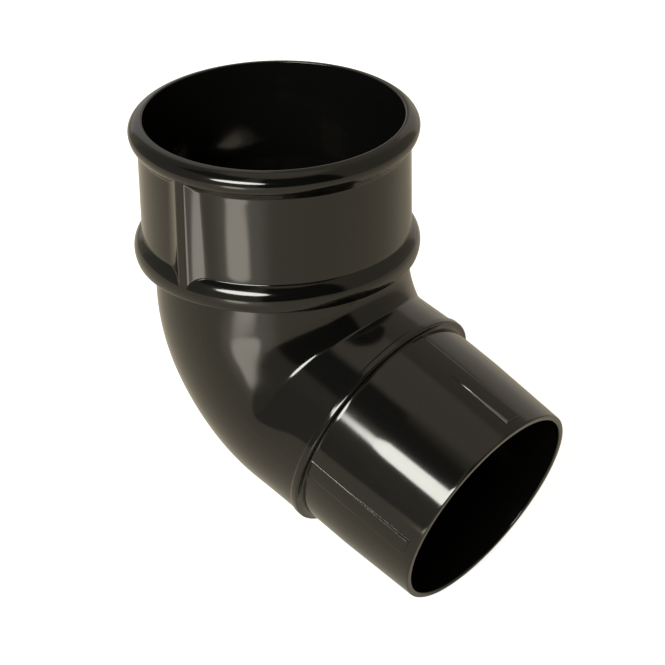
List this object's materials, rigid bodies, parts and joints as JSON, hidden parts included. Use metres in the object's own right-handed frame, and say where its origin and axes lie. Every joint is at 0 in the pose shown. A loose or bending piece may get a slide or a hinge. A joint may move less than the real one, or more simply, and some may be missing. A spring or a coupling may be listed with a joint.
{
  "type": "downpipe offset bend",
  "caption": "Glossy black moulded rainwater bend with a beaded socket at the top and a slimmer, collared spigot that leads away at an angle.",
  "frame": {"origin": "centre of the ledge at the bottom of the socket, where the pipe's end stops, on the socket's axis", "axes": "+Z along the socket's axis, out of its mouth; +X the way the spigot leads, so that it points to +X and down; the bend turns in the XZ plane"},
  "size_m": [0.1196, 0.077, 0.1224],
  "materials": {
    "moulding": "high gloss, as moulded"
  },
  "bodies": {
    "root": {"offset_bend": "moulding"}
  },
  "joints": []
}
